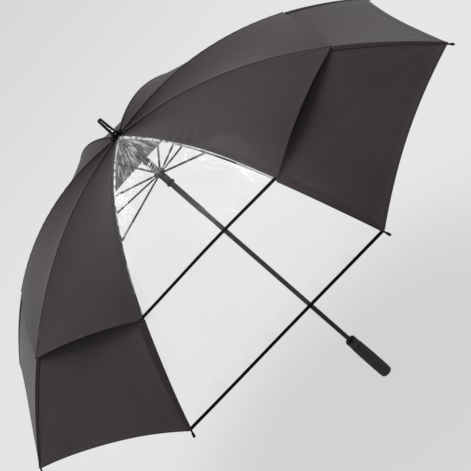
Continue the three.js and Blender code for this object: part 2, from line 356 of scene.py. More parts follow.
# ---- Material tools ----
class Nodes:
    """A material's node tree round its Principled shader."""

    def __init__(self, name, **constants):
        self.material = bpy.data.materials.new(name)
        self.material.use_nodes = True
        self.tree = self.material.node_tree
        self.shader = self.tree.nodes["Principled BSDF"]
        for socket, value in constants.items():
            self.shader.inputs[socket.replace("_", " ")].default_value = value

    def add(self, kind, inputs=None, **settings):
        node = self.tree.nodes.new(f"ShaderNode{kind}")
        for setting, value in settings.items():
            setattr(node, setting, value)
        for socket, value in (inputs or {}).items():
            self.put(node, socket, value)
        return node

    def put(self, node, socket, value):
        if isinstance(value, bpy.types.NodeSocket):
            self.tree.links.new(value, node.inputs[socket])
        else:
            node.inputs[socket].default_value = value

    def drive(self, socket, value):
        self.tree.links.new(value, self.shader.inputs[socket])

    def maths(self, operation, a, b=0.0, clamp=False):
        node = self.add("Math", {0: a, 1: b}, operation=operation, use_clamp=clamp)
        return node.outputs[0]

    def object_place(self):
        return self.add("TexCoord").outputs["Object"]

    def cut_place(self):
        return self.add("UVMap", uv_map="cut").outputs[0]

    def scaled(self, place, scale):
        mapping = self.add("Mapping", {"Vector": place, "Scale": scale})
        return mapping.outputs[0]

    def noise(self, place, scale, detail=3.0, rough=0.5):
        inputs = {"Vector": place, "Scale": scale, "Detail": detail, "Roughness": rough}
        return self.add("TexNoise", inputs).outputs[0]

    def ranged(self, value, low, high, to_low=0.0, to_high=1.0):
        inputs = {0: value, 1: low, 2: high, 3: to_low, 4: to_high}
        return self.add("MapRange", inputs, clamp=True).outputs[0]

    def mixed(self, factor, a, b):
        node = self.add("Mix", data_type="RGBA")
        self.put(node, 0, factor)
        self.put(node, 6, a)
        self.put(node, 7, b)
        return node.outputs[2]

    def wave(self, place, scale, direction):
        inputs = {"Vector": place, "Scale": scale}
        return self.add("TexWave", inputs, wave_type="BANDS", bands_direction=direction).outputs["Fac"]

    def bump(self, height, distance, strength, before=None):
        inputs = {"Height": height, "Distance": distance, "Strength": strength}
        if before is not None:
            inputs["Normal"] = before
        return self.add("Bump", inputs).outputs[0]


def shade(colour, times):
    return (*(channel * times for channel in colour[:3]), 1.0)


def cloth_material(name, colour):
    """Thin pongee: a fine plain weave, faint uneven dye, and thread beside the sewn edges."""
    n = Nodes(name, Sheen_Weight=0.24, Sheen_Roughness=0.45, Specular_IOR_Level=0.1)
    place = n.cut_place()
    patches = n.noise(place, 11, 4)
    streaks = n.noise(n.scaled(place, (240, 16, 1)), 1, 2)
    uneven = n.maths("ADD", n.maths("MULTIPLY", patches, 0.7), n.maths("MULTIPLY", streaks, 0.3))
    colour_out = n.mixed(n.ranged(uneven, 0.35, 0.68), shade(colour, 0.86), shade(colour, 1.16))
    weave = n.maths("MULTIPLY", n.wave(place, 620, "X"), n.wave(place, 620, "Y"))
    creases = n.noise(n.scaled(place, (1, 0.55, 1)), 26, 5, 0.6)
    normal = n.bump(creases, 0.0012, 0.35)
    normal = n.bump(weave, 0.00008, 0.35, normal)
    thread = stitch_mask(n, place)
    colour_out = n.mixed(thread, colour_out, shade(colour, 1.9))
    normal = n.bump(thread, 0.0004, 0.6, normal)
    n.drive("Base Color", colour_out)
    n.drive("Roughness", n.ranged(patches, 0.2, 0.8, 0.56, 0.7))
    n.drive("Normal", normal)
    return n.material


def stitch_mask(n, place):
    """Two rows of thread, at fixed distances from the sewn edge."""
    distance = n.add("Attribute", attribute_name="edge").outputs["Fac"]
    parts = n.add("SeparateXYZ", {0: place}).outputs
    run = n.maths("ADD", parts[0], parts[1])
    phase = n.maths("MULTIPLY", run, math.tau / STITCH_LENGTH)
    dash = n.maths("GREATER_THAN", n.maths("SINE", phase), -0.35)
    row = 0.0
    for at in STITCH_ROWS:
        near = n.maths("ABSOLUTE", n.maths("SUBTRACT", distance, at))
        row = n.maths("ADD", n.ranged(near, 0.00022, 0.0004, 1.0, 0.0), row)
    return n.maths("MULTIPLY", row, dash, clamp=True)


def ridges(n, noise, width):
    """Thin lines where a noise crosses its middle value."""
    return n.ranged(n.maths("ABSOLUTE", n.maths("SUBTRACT", noise, 0.5)), 0.0, width, 1.0, 0.0)


def crown_rays(n, place, across, radius):
    """A noise drawn out along lines from the crown."""
    fan = n.maths("DIVIDE", across, n.maths("ADD", radius, 0.004))
    bent = n.maths("MULTIPLY", n.noise(place, 20, 2), 0.8)
    turn = n.maths("ADD", n.maths("MULTIPLY", fan, 10.0), bent)
    rays = n.add("CombineXYZ", {0: turn, 1: n.maths("MULTIPLY", radius, 4.5)})
    return n.noise(rays.outputs[0], 1.0, 2.5, 0.6)


def ray_lines(n, creases, radius, distance, near_crown):
    """Creases that run out from the crown and along the sewn edges, drawn white: partly the creased vinyl,
    partly painted highlight.
    """
    edge = n.ranged(distance, 0.003, 0.04, 1.0, 0.0)
    near_edge = n.maths("MULTIPLY", edge, n.ranged(radius, 0.2, 0.5, 0.7, 0.3))
    shown = n.maths("MAXIMUM", near_crown, near_edge)
    return n.maths("MULTIPLY", n.maths("MULTIPLY", ridges(n, creases, 0.035), shown), 0.38)


def doubled_edge_glint(n, across, radius, distance):
    """The film's folded edge beside rib 1's seam, drawn as a white line: partly the doubled film, partly a
    painted reflection along it.
    """
    one_side = n.maths("MULTIPLY", n.ranged(radius, 0.22, 0.32), n.ranged(across, 0.0, 0.02))
    return n.maths("MULTIPLY", n.ranged(distance, 0.0012, 0.002, 0.75, 0.0), one_side)


def handling_creases_and_glints(n, place, radius, distance):
    """Short soft creases a quarter of a metre out, beside the seams, drawn white: partly the creased film,
    partly painted highlight.
    """
    from_ring = n.maths("ABSOLUTE", n.maths("SUBTRACT", radius, 0.25))
    shown = n.maths("MULTIPLY", n.ranged(distance, 0.0, 0.09, 1.0, 0.0),
                    n.ranged(from_ring, 0.02, 0.13, 0.3, 0.0))
    return n.maths("MULTIPLY", ridges(n, n.noise(n.scaled(place, (30, 17, 1)), 1.0, 1.2), 0.05), shown)


def seam_gathers(n, place, radius, distance):
    """The bunched strip where the film is sewn in near the crown, drawn milky white: partly the gathered
    film, partly painted highlight on its folds.
    """
    bunches = n.ranged(n.noise(n.scaled(place, (90, 55, 1)), 1.0, 2), 0.4, 0.58, 0.12, 0.75)
    beside_seam = n.maths("MULTIPLY", bunches, n.ranged(distance, 0.004, 0.008, 1.0, 0.0))
    return n.maths("MULTIPLY", beside_seam, n.ranged(radius, 0.22, 0.34, 1.0, 0.0))


def film_material():
    """Clear vinyl: almost no body, and white creases from the crown and along the sewn edges: partly the
    vinyl's own whitening, partly painted highlight where the creases catch the light.
    """
    n = Nodes("clear_film", Base_Color=(0.96, 0.97, 0.98, 1), Specular_IOR_Level=0.6, Roughness=0.16)
    place = n.cut_place()
    parts = n.add("SeparateXYZ", {0: place}).outputs
    across, radius = parts[0], parts[1]
    distance = n.add("Attribute", attribute_name="edge").outputs["Fac"]
    near_crown = n.ranged(radius, 0.1, 0.27, 1.0, 0.0)
    creases = crown_rays(n, place, across, radius)
    # Crumpled lines near the crown, drawn white: partly the vinyl's whitening, partly painted highlight.
    crumples = ridges(n, n.noise(place, 70, 2, 0.5), 0.03)
    lines = n.maths("MULTIPLY", crumples, n.maths("MULTIPLY", near_crown, 0.16))
    for layer in (ray_lines(n, creases, radius, distance, near_crown),
                  doubled_edge_glint(n, across, radius, distance),
                  handling_creases_and_glints(n, place, radius, distance),
                  seam_gathers(n, place, radius, distance)):
        lines = n.maths("MAXIMUM", lines, layer)
    haze = n.ranged(n.noise(place, 7, 3), 0.35, 0.7, 0.008, 0.03)
    milky = n.maths("ADD", n.maths("MULTIPLY", near_crown, 0.01), haze)
    n.drive("Alpha", n.maths("ADD", lines, milky, clamp=True))
    normal = n.bump(creases, 0.003, 0.5)
    n.drive("Normal", n.bump(n.noise(place, 45, 4), 0.0006, 0.3, normal))
    return n.material


def tape_material(name, colour, shine=0.2):
    """Ribbed binding tape."""
    n = Nodes(name, Specular_IOR_Level=shine)
    place = n.object_place()
    grain = n.noise(place, 900, 2)
    soft = n.noise(place, 60, 3)
    n.drive("Base Color", n.mixed(soft, shade(colour, 0.8), shade(colour, 1.25)))
    n.drive("Roughness", n.ranged(soft, 0.3, 0.7, 0.5, 0.68))
    n.drive("Normal", n.bump(grain, 0.0002, 0.5))
    return n.material


def painted_material(name, colour, rough, shine, along=False, grain=0.25):
    """Smooth paint or plastic: faint waviness, fine scratches and slightly uneven gloss."""
    n = Nodes(name, Specular_IOR_Level=shine)
    place = n.object_place()
    soft = n.noise(place, 35, 4)
    scale = (500, 500, 12) if along else (420, 420, 420)
    fine = n.noise(n.scaled(place, scale), 1.0, 3)
    n.drive("Base Color", n.mixed(soft, shade(colour, 0.82), shade(colour, 1.2)))
    n.drive("Roughness", n.ranged(fine, 0.3, 0.7, rough - 0.06, rough + 0.08))
    normal = n.bump(soft, 0.0004, 0.15)
    n.drive("Normal", n.bump(fine, 0.00012, grain, normal))
    return n.material


def moulded_material(name, colour, rough):
    """Moulded plastic with a fine spark-eroded grain."""
    n = Nodes(name, Specular_IOR_Level=0.3)
    place = n.object_place()
    cells = n.add("TexVoronoi", {"Vector": place, "Scale": 1500}).outputs["Distance"]
    soft = n.noise(place, 40, 3)
    n.drive("Base Color", n.mixed(soft, shade(colour, 0.85), shade(colour, 1.18)))
    n.drive("Roughness", n.ranged(cells, 0.0, 0.6, rough + 0.06, rough - 0.05))
    normal = n.bump(soft, 0.0005, 0.12)
    n.drive("Normal", n.bump(cells, 0.0001, 0.4, normal))
    return n.material


def foam_material():
    """Closed-cell foam: pores in a matt skin, painted darker as shade in their hollows."""
    n = Nodes("grip_foam", Specular_IOR_Level=0.35)
    place = n.object_place()
    pores = n.add("TexVoronoi", {"Vector": place, "Scale": 950}).outputs["Distance"]
    grain = n.noise(place, 1400, 3)
    soft = n.noise(place, 30, 4)
    colour = (0.030, 0.0255, 0.027)
    base = n.mixed(soft, shade(colour, 0.8), shade(colour, 1.25))
    # The pores are painted darker: painted shade in their hollows.
    n.drive("Base Color", n.mixed(n.ranged(pores, 0.05, 0.3), shade(colour, 0.55), base))
    n.drive("Roughness", n.ranged(grain, 0.3, 0.7, 0.66, 0.86))
    normal = n.bump(soft, 0.001, 0.15)
    normal = n.bump(pores, 0.00035, 0.55, normal)
    n.drive("Normal", n.bump(grain, 0.0001, 0.4, normal))
    return n.material


def steel_material():
    """Drawn spring wire."""
    n = Nodes("spring_steel", Metallic=0.6)
    place = n.object_place()
    lines = n.noise(n.scaled(place, (300, 300, 2600)), 1.0, 3)
    soft = n.noise(place, 160, 3)
    n.drive("Base Color", n.mixed(soft, (0.78, 0.79, 0.8, 1), (0.95, 0.95, 0.96, 1)))
    n.drive("Roughness", n.ranged(lines, 0.3, 0.7, 0.16, 0.34))
    n.drive("Normal", n.bump(lines, 0.0001, 0.4))
    return n.material


def floor_material():
    """A pale paper sweep, lit a little from within so that shadows on it stay faint."""
    n = Nodes("paper_floor", Emission_Strength=0.6, Roughness=0.9, Specular_IOR_Level=0.1)
    fibres = n.noise(n.object_place(), 60, 3)
    n.drive("Base Color", n.mixed(fibres, (0.19, 0.19, 0.19, 1), (0.21, 0.21, 0.21, 1)))
    n.shader.inputs["Emission Color"].default_value = (1, 1, 1, 1)
    return n.material


CLOTH_BLACK = cloth_material("canopy_cloth", CLOTH_COLOUR)
CLOTH_UNDER = cloth_material("canopy_cloth_under", CLOTH_UNDER_COLOUR)
ROSETTE_CLOTH = tape_material("rosette_cloth", (0.004, 0.004, 0.004), 0.08)
CLEAR_FILM = film_material()
TAPE = tape_material("binding_tape", (0.003, 0.003, 0.0035), 0.06)
# The seam cloth is lighter than the gores: painted highlight along each seam's ridge.
SEAM_HIGHLIT_CLOTH = tape_material("seam_cloth_highlit", (0.062, 0.053, 0.059))
EDGE_TAPE = tape_material("edge_tape", (0.042, 0.039, 0.043))
SLEEVE_CLOTH = tape_material("sleeve_cloth", (0.041, 0.033, 0.032), 0.1)
ROD_BLACK = painted_material("rod_black", (0.006, 0.006, 0.0065), 0.42, 0.25)
SHAFT_BLACK = painted_material("shaft_black", (0.012, 0.012, 0.012), 0.38, 0.25, along=True)
GLOSS_BLACK = painted_material("gloss_black", (0.002, 0.002, 0.0022), 0.12, 0.2, grain=0.05)
BLACK_PLASTIC = moulded_material("black_plastic", (0.014, 0.014, 0.0145), 0.45)
BUTTON_PLASTIC = moulded_material("button_plastic", (0.032, 0.032, 0.034), 0.42)
GRIP_FOAM = foam_material()
STEEL = steel_material()


# ---- Canopy ----
def spread_across(columns):
    """Places across a gore from -1 to 1, closer together towards its edges."""
    return np.sin(np.linspace(-math.pi / 2, math.pi / 2, columns + 1))


def toward_hem(start, end, rows):
    """Shares from 0 at the start to 1 at the hem, with close rows where the hem is folded."""
    length = end - start
    inner_row, outer_row = STITCH_ROWS[1], STITCH_ROWS[0]
    folded = 1 - np.array([HEM + 0.0006, HEM, inner_row, 0.005, outer_row, 0.0018, 0.0005, 0.0]) / length
    return np.concatenate([np.linspace(0, folded[0], rows, endpoint=False), folded])


def fold_thickness(from_hem, base):
    """The hem is folded over twice, and the sewing pulls it in along its two rows."""
    thick = np.where(from_hem < HEM - 0.0001, HEM_THICKNESS, base)
    sewn = np.minimum(abs(from_hem - STITCH_ROWS[0]), abs(from_hem - STITCH_ROWS[1])) < 0.0003
    return np.where(sewn, HEM_THICKNESS * 0.75, thick)


def upper_rise(radius, across, lift, loose):
    """How far the upper canopy stands over the lower one's curve."""
    arched = np.clip((radius - ARCH_START) / (VENT_RADIUS - ARCH_START), 0, 1)
    stands_off = SEAM_LOOSE * loose * np.sin(math.pi * arched)
    return VENT_RISE * (radius / VENT_RADIUS) ** 2 + stands_off + lift * (1 - across**2) * arched**2


def looseness(k, across):
    """Between its clip and its corner the seam over rib 1 isn't sewn to the rib, and stands off it."""
    sides = {CLEAR: (1 + across) / 2, 1: (1 - across) / 2}
    return sides.get(k, 0.0)


def upper_sag(radius, across, depth):
    """The cloth hangs in between the ribs, most at a third of the way to the hem."""
    along = np.clip((radius - UPPER_START) / (VENT_RADIUS - UPPER_START), 0, 1)
    return depth * np.sin(math.pi * along**0.6) * (1 - across**2)


def seam_pucker(radius, from_seam):
    """The ripple that the thread draws into the cloth."""
    return PUCKER_HEIGHT * np.exp(-from_seam / PUCKER_REACH) * np.sin(math.tau * radius / PUCKER_LENGTH)


def corner_creases(radius, from_seam, corner_radius, size, reach):
    """Creases that fan out from the corner where the hem meets the rib."""
    back = corner_radius - radius
    distance = np.hypot(back, from_seam)
    angle = np.arctan2(from_seam, back + 1e-6)
    fades = np.exp(-distance / reach) * (1 - np.exp(-distance / 0.012))
    return size * fades * np.sin(11 * angle)


def crown_creases(radius, across, size, phase):
    """Short creases where the cloth is gathered under the ferrule."""
    fades = np.exp(-(radius - UPPER_START) / 0.055)
    return size * fades * (1 - across**2) * np.cos(13 * across + phase)


def seam_folds(radius, across):
    """Slanting folds beside rib 1, where the loose seam pulls on the first gore's cloth."""
    from_seam = (1 + across) * radius * math.sin(HALF)
    fades = np.exp(-from_seam / 0.035) * (1 - np.exp(-from_seam / 0.007))
    along = np.exp(-(((radius - FOLD_RADIUS) / 0.055) ** 2))
    return FOLD_HEIGHT * fades * along * np.sin(math.tau * (30 * radius + 16 * from_seam))


def slack(radius, across, k):
    """Broad, shallow waves, different in each gore."""
    wave = np.sin(9.0 * radius + 1.7 * k) * np.sin(2.6 * across + 2.1 * k)
    return SLACK_HEIGHT * wave * (1 - across**2) * radius / VENT_RADIUS


def gore_grid(radius, across, rise):
    """One gore's points, drawn about +X."""
    half_width = radius * math.sin(HALF) - SEAM_GAP
    height = CROWN_Z - canopy_drop(radius) + rise
    return np.stack([radius * math.cos(HALF), across * half_width, height], -1)


def upper_gore(k):
    """A gore from the crown to the vent's hem."""
    clear = k == CLEAR
    kind = "film" if clear else "upper"
    across, share = np.meshgrid(spread_across(GORE_COLUMNS),
                                toward_hem(UPPER_START, VENT_RADIUS, UPPER_ROWS))
    radius = UPPER_START + share * (VENT_RADIUS - UPPER_START)
    from_seam = (1 - abs(across)) * radius * math.sin(HALF)
    from_hem = VENT_RADIUS - radius
    lift = CLEAR_VENT_LIFT if clear else BLACK_VENT_LIFT
    rise = upper_rise(radius, across, lift, looseness(k, across))
    rise -= upper_sag(radius, across, UPPER_SAGS[k])
    rise += seam_pucker(radius, from_seam) + slack(radius, across, k)
    rise += corner_creases(radius, from_seam, VENT_RADIUS, CORNER_CREASE[kind], 0.05)
    rise += crown_creases(radius, across, CROWN_CREASE[kind], k)
    if k == 1:
        rise += seam_folds(radius, across)
    name = f"upper_{'film' if clear else 'cloth'}_{k}"
    gore_sheet(name, k, "upper", radius, across, rise, from_seam, from_hem)


def lower_gore(k):
    """A gore from under the vent to the umbrella's hem."""
    clear = k == CLEAR
    kind = "film" if clear else "lower"
    across, share = np.meshgrid(spread_across(GORE_COLUMNS),
                                toward_hem(LOWER_START, TIP_RADIUS, LOWER_ROWS))
    scallop = 0 if clear else BLACK_SCALLOP
    hem_radius = TIP_RADIUS - scallop * (1 - across**2)
    radius = LOWER_START + share * (hem_radius - LOWER_START)
    from_seam = (1 - abs(across)) * radius * math.sin(HALF)
    from_hem = hem_radius - radius
    sag = FILM_SAG if clear else LOWER_SAG
    rise = -sag * (1 - share**3) * (1 - across**2)
    rise += seam_pucker(radius, from_seam) + slack(radius, across, k + 3)
    rise += corner_creases(radius, from_seam, TIP_RADIUS, CORNER_CREASE[kind], 0.06)
    name = f"lower_{'film' if clear else 'cloth'}_{k}"
    gore_sheet(name, k, "lower", radius, across, rise, from_seam, from_hem)


def gore_sheet(name, k, layer, radius, across, rise, from_seam, from_hem):
    """One gore as a thin sheet."""
    clear = k == CLEAR
    grid = turned_to(gore_grid(radius, across, rise), gore_azimuth(k))
    cut = np.stack([across * radius * math.sin(HALF), radius], -1)
    edge = np.minimum(from_seam, from_hem)
    thickness = FILM if clear else fold_thickness(from_hem, CLOTH)
    sheet = shell(name, grid, thickness, CLEAR_FILM if clear else CLOTH_BLACK, cut, edge)
    if not clear:
        # The lower skin takes the lighter underside colour: painted light showing through the cloth.
        line_underside(sheet, CLOTH_UNDER)
    fold_with_gore(sheet, k, layer)
    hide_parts(f"{layer}_gore_{k}")


def fold_with_gore(piece, k, layer):
    """The piece turns with its gore."""
    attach(piece, f"{layer}_gore_{k}")
    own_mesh(piece)


def strip_grid(radii, left, right, rise):
    """A strip along a rib drawn about +X, bent over the ridge between the two gores."""
    offsets = np.linspace(0, 1, STRIP_COLUMNS)[None, :]
    across = -left[:, None] + (left + right)[:, None] * offsets
    radius = np.broadcast_to(radii[:, None], across.shape)
    x = radius - abs(across) * math.sin(HALF)
    height = CROWN_Z - canopy_drop(radius) + rise(radius, offsets)
    return np.stack([x, across * math.cos(HALF), height], -1)


def upper_seam(k):
    """The sewn join over rib k. Beside the clear gore it is a wider tape."""
    bordering = k in (CLEAR, CLEAR % RIBS + 1)
    radii = np.linspace(SEAM_START, VENT_RADIUS + 0.0004, 110)
    narrow = np.full_like(radii, SEAM_WIDTH / 2)
    inner = np.full_like(radii, 0.0032 if k == CLEAR else 0.0006)
    wide = narrow + 0.0045 * np.minimum(1, radii / 0.1)
    left, right = narrow, narrow
    if bordering:
        left, right = (wide, inner) if k == CLEAR else (inner, wide)

    def rise(radius, offsets):
        ridge = (0.0003 + 0.0018 * radius) * np.sin(math.pi * offsets) ** 0.7
        cloth = upper_rise(radius, 1.0, 0.0, looseness(k, -1.0))
        return cloth + SEAM_THICKNESS + ridge + seam_pucker(radius, 0.0)

    grid = turned_to(strip_grid(radii, left, right, rise), rib_azimuth(k))
    # Seams away from the clear gore take the lighter seam cloth: painted highlight on their ridge.
    seam = shell(f"upper_seam_{k}", grid, SEAM_THICKNESS, EDGE_TAPE if bordering else SEAM_HIGHLIT_CLOTH)
    fold_with_gore(seam, k, "upper")
    return seam


def rib_sleeve(k):
    """The cloth sleeve over a rib's outer part, from the vent's corner to the tip."""
    radii = np.linspace(VENT_RADIUS + 0.0012, SLEEVE_END_RADIUS, 60)
    share = (radii - radii[0]) / (radii[-1] - radii[0])
    width = SLEEVE_TOP_WIDTH + share**2.5 * (SLEEVE_END_WIDTH - SLEEVE_TOP_WIDTH)
    lean = {CLEAR: 0.75, CLEAR % RIBS + 1: 0.25}.get(k, 0.5)

    def rise(_, offsets):
        return 0.0006 + 0.0016 * np.sin(math.pi * offsets)

    grid = turned_to(strip_grid(radii, width * lean, width * (1 - lean), rise), rib_azimuth(k))
    sleeve = shell(f"rib_sleeve_{k}", grid, SLEEVE_THICKNESS, SLEEVE_CLOTH)
    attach(sleeve, f"rib_outer_{k}")


def vent_tack(k):
    """A bar of thread that holds the vent's corner to the rib."""
    offsets = np.linspace(-1, 1, 9)
    radius = VENT_RADIUS - 0.001
    height = CROWN_Z - canopy_drop(radius) + VENT_RISE + 0.0018
    path = [(radius - abs(o) * 0.001, o * TACK_LENGTH / 2, height - 0.0006 * o * o) for o in offsets]
    scales = np.sqrt(np.maximum(0.05, 1 - offsets**4))
    side = turned_to((1, 0, 0), rib_azimuth(k))
    path = turned_to(path, rib_azimuth(k))
    tack = sweep(f"vent_tack_{k}", path, circle(TACK_RADIUS, 10), side, TAPE, scales)
    fold_with_gore(tack, k, "upper")
    return tack


def clear_binding(layer, hem_radius, rise):
    """The black tape folded over the clear gore's hem."""
    width = BINDINGS[layer]
    across, back = np.meshgrid(np.linspace(-0.999, 0.999, 61), np.linspace(width, -0.0004, 7))
    radius = hem_radius - back
    height = rise(np.minimum(radius, hem_radius), across)
    grid = turned_to(gore_grid(radius, across, height), gore_azimuth(CLEAR))
    binding = shell(f"{layer}_film_binding", grid, BINDING_THICKNESS, TAPE)
    fold_with_gore(binding, CLEAR, layer)
    return binding


def film_edge_rise(layer):
    """How the film itself lies near that layer's hem."""
    if layer == "upper":
        def rise(radius, across):
            sag = upper_sag(radius, across, UPPER_SAGS[CLEAR])
            rise = upper_rise(radius, across, CLEAR_VENT_LIFT, looseness(CLEAR, across))
            return rise - sag + slack(radius, across, CLEAR)
        return rise

    def rise(radius, across):
        share = (radius - LOWER_START) / (TIP_RADIUS - LOWER_START)
        sag = FILM_SAG * (1 - share**3) * (1 - across**2)
        return slack(radius, across, CLEAR + 3) - sag
    return rise


def crown_rosette(name, reach, height, ruffles, phase):
    """A gathered round of cloth under the ferrule."""
    angles = np.arange(120) * math.tau / 120
    radii = np.linspace(BORE_RADIUS + 0.0001, reach, 9)
    radius, angle = np.meshgrid(radii, angles, indexing="ij")
    share = (radius - radii[0]) / (radii[-1] - radii[0])
    wave = np.sin(ruffles * angle + phase) + 0.35 * np.sin((ruffles + 4) * angle + 2 * phase)
    z = height - 0.0004 * share + 0.0015 * share * wave
    radius = radius * (1 + 0.03 * share * np.sin(5 * angle + phase))
    grid = np.stack([radius * np.cos(angle), radius * np.sin(angle), z], -1)
    rosette = shell(name, grid, ROSETTE_THICKNESS, ROSETTE_CLOTH, grid[..., :2], wrap=True)
    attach(rosette, "shaft_and_handle")
    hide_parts("crown_cap")


def make_canopy():
    for k in range(1, RIBS + 1):
        trims = {"upper": [upper_seam(k), vent_tack(k)], "lower": []}
        if k == CLEAR:
            for layer, hem_radius in (("upper", VENT_RADIUS), ("lower", TIP_RADIUS)):
                trims[layer].append(clear_binding(layer, hem_radius, film_edge_rise(layer)))
        upper_gore(k)
        lower_gore(k)
        rib_sleeve(k)
    for place, shape in ROSETTES.items():
        crown_rosette(f"crown_rosette_{place}", **shape)


# ---- Ribs and stretchers ----
def rib_rod(k):
    """One rod, from the crown to inside the tip's cap."""
    azimuth = rib_azimuth(k)
    radii = np.concatenate([np.linspace(0.0087, 0.300, 24), np.linspace(0.304, 0.372, 30),
                            np.linspace(0.380, RIB_END_RADIUS, 26)])
    path = [rib_point(radius, azimuth) for radius in radii]
    side = turned_to((0, 1, 0), azimuth)
    rod = sweep(f"rib_rod_{k}", path, circle(RIB_RADIUS, 16), side, ROD_BLACK)
    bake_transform(rod)
    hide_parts(f"rib_inner_{k}", f"rib_outer_{k}")


def clip_tongue(k):
    """The tab that hangs from the clip, across the rib's line."""
    slope = canopy_slope(CLIP_RADIUS)
    along = np.array([math.cos(slope), 0, -math.sin(slope)])
    depths = CLIP_DEPTH * np.linspace(0.0012, 1.3, 8)
    widths = [1.7, 1.45, 1.2, 1.05, 1.0, 1.0, 0.85, 0.4]
    section = [(-0.0009, -0.0023), (0.0009, -0.0023), (0.0009, 0.0023), (-0.0009, 0.0023)]
    rings = []
    for depth, width in zip(depths, widths):
        ring = [np.array(below_rib(depth)) + np.array([0, s, 0]) + along * u * width for s, u in section]
        rings.append(turned_to(ring, rib_azimuth(k)))
    return stack(f"rib_clip_tongue_{k}", np.array(rings), ROD_BLACK)


def rib_clip(k):
    """The crimped saddle on the rib, with the tongue that carries the stretcher's pin."""
    azimuth = rib_azimuth(k)
    side = turned_to((0, 1, 0), azimuth)
    radii = np.linspace(CLIP_START, CLIP_END, 13)
    scales = 1 + 0.14 * np.sin(np.linspace(0, math.pi, 13)) ** 0.4
    path = [rib_point(radius, azimuth) for radius in radii]
    saddle = sweep(f"rib_clip_{k}", path, circle(CLIP_SADDLE_RADIUS, 20), side, ROD_BLACK, scales)
    tongue = clip_tongue(k)
    pivot = turned_to(below_rib(CLIP_DEPTH), azimuth)
    rivet = pin(f"clip_rivet_{k}", pivot, side, RIVET_LENGTH, RIVET_RADIUS)
    for piece in (saddle, tongue, rivet):
        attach(piece, f"rib_inner_{k}")


def pin(name, centre, direction, length, radius):
    """A rivet with two low domed heads."""
    steps = [(-0.5, 0.5), (-0.47, 1.25), (-0.42, 1.5), (-0.38, 1.5), (-0.38, 0.9),
             (0.38, 0.9), (0.38, 1.5), (0.42, 1.5), (0.47, 1.25), (0.5, 0.5)]
    direction = np.asarray(direction, float)
    level = np.array([0.0, 0.0, 1.0])
    other = np.cross(direction, level)
    rings = []
    for at, scale in steps:
        ring = [centre + direction * at * length + radius * scale * (level * u + other * v)
                for u, v in circle(1.0, 14)]
        rings.append(ring)
    return stack(name, np.array(rings), STEEL)


def stretcher(k):
    """A pressed channel, pinned to the rib by a fork and to the runner by a flattened eye."""
    azimuth = rib_azimuth(k)
    top = np.array(below_rib(CLIP_DEPTH))
    bottom = np.array([PIVOT_RADIUS, 0, RUNNER_Z])
    reach = np.linalg.norm(bottom - top)
    along = (bottom - top) / reach
    side = turned_to((0, 1, 0), azimuth)
    channel = [(-0.002, -0.0015), (0.002, -0.0015), (0.002, 0.0015), (0.0013, 0.0015),
               (0.0013, -0.0007), (-0.0013, -0.0007), (-0.0013, 0.0015), (-0.002, 0.0015)]
    distances = np.concatenate([[0.0105, 0.012, 0.014], np.linspace(0.02, reach - 0.014, 12),
                                [reach - 0.011]])
    path = turned_to([top + along * d for d in distances], azimuth)
    arm = sweep(f"stretcher_{k}_arm", path, channel, side, ROD_BLACK)
    eye_distances = np.array([-0.013, -0.010, -0.004, 0.0, 0.0012, 0.0018]) + reach
    eye_path = turned_to([top + along * d for d in eye_distances], azimuth)
    eye = sweep(f"stretcher_{k}_eye", eye_path, circle(EYE_RADIUS, 14), side, ROD_BLACK,
                [0.7, 0.95, 0.95, 0.95, 0.8, 0.4])
    pieces = [arm, eye]
    for name, shift in (("left", -CHEEK_SHIFT), ("right", CHEEK_SHIFT)):
        pieces.append(fork_cheek(f"stretcher_{k}_cheek_{name}", top, along, shift, azimuth))
    for piece in pieces:
        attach(piece, f"stretcher_{k}")
        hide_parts(f"stretcher_{k}")


def fork_cheek(name, top, along, shift, azimuth):
    """One rounded cheek of the fork that straddles the clip's tongue."""
    normal = np.cross((0, 1, 0), along)
    outline = [(-0.0025 * math.cos(t), 0.0025 * math.sin(t)) for t in np.linspace(-1.4, 1.4, 12)]
    outline = [(0.0125, 0.0013)] + outline[::-1] + [(0.0125, -0.0013)]
    rings = []
    for thick in (-0.00055, -0.00045, 0.00045, 0.00055):
        inset = 0.94 if abs(thick) > 0.0005 else 1.0
        ring = [top + along * u * inset + normal * v * inset + np.array([0, shift + thick, 0])
                for u, v in outline]
        rings.append(turned_to(ring, azimuth))
    return stack(name, np.array(rings), ROD_BLACK)


def rib_tip(k):
    """The rounded plastic cap on a rib's end."""
    azimuth = rib_azimuth(k)
    slope = canopy_slope(RIB_END_RADIUS)
    direction = np.array([math.cos(slope), 0, -math.sin(slope)])
    rib_end = np.array([RIB_END_RADIUS, 0, PIVOT_Z - canopy_drop(RIB_END_RADIUS)])
    start = rib_end - TIP_CAP_START * direction
    distances = [0.0, 0.0004, 0.0009, 0.0026, 0.003, 0.0036, 0.004, 0.0062, 0.0076, 0.0086, 0.0092, 0.0095]
    scales = [0.82, 0.96, 1.0, 1.0, 0.9, 0.9, 1.0, 1.0, 0.93, 0.76, 0.52, 0.25]
    path = turned_to([start + direction * distance for distance in distances], azimuth)
    side = turned_to((0, 1, 0), azimuth)
    cap = sweep(f"tip_cap_{k}", path, circle(TIP_CAP_RADIUS, 20), side, GLOSS_BLACK, scales)
    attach(cap, f"rib_outer_{k}")
    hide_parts(f"rib_tip_{k}")


def make_ribs():
    for k in range(1, RIBS + 1):
        rib_rod(k)
        rib_clip(k)
        stretcher(k)
        rib_tip(k)


# ---- Crown, shaft and runner ----
def on_body(piece, body, slot, *nodes):
    """The piece rides on a body and stands for any nodes named; `slot` is not used."""
    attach(piece, body)
    if nodes:
        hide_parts(*nodes)


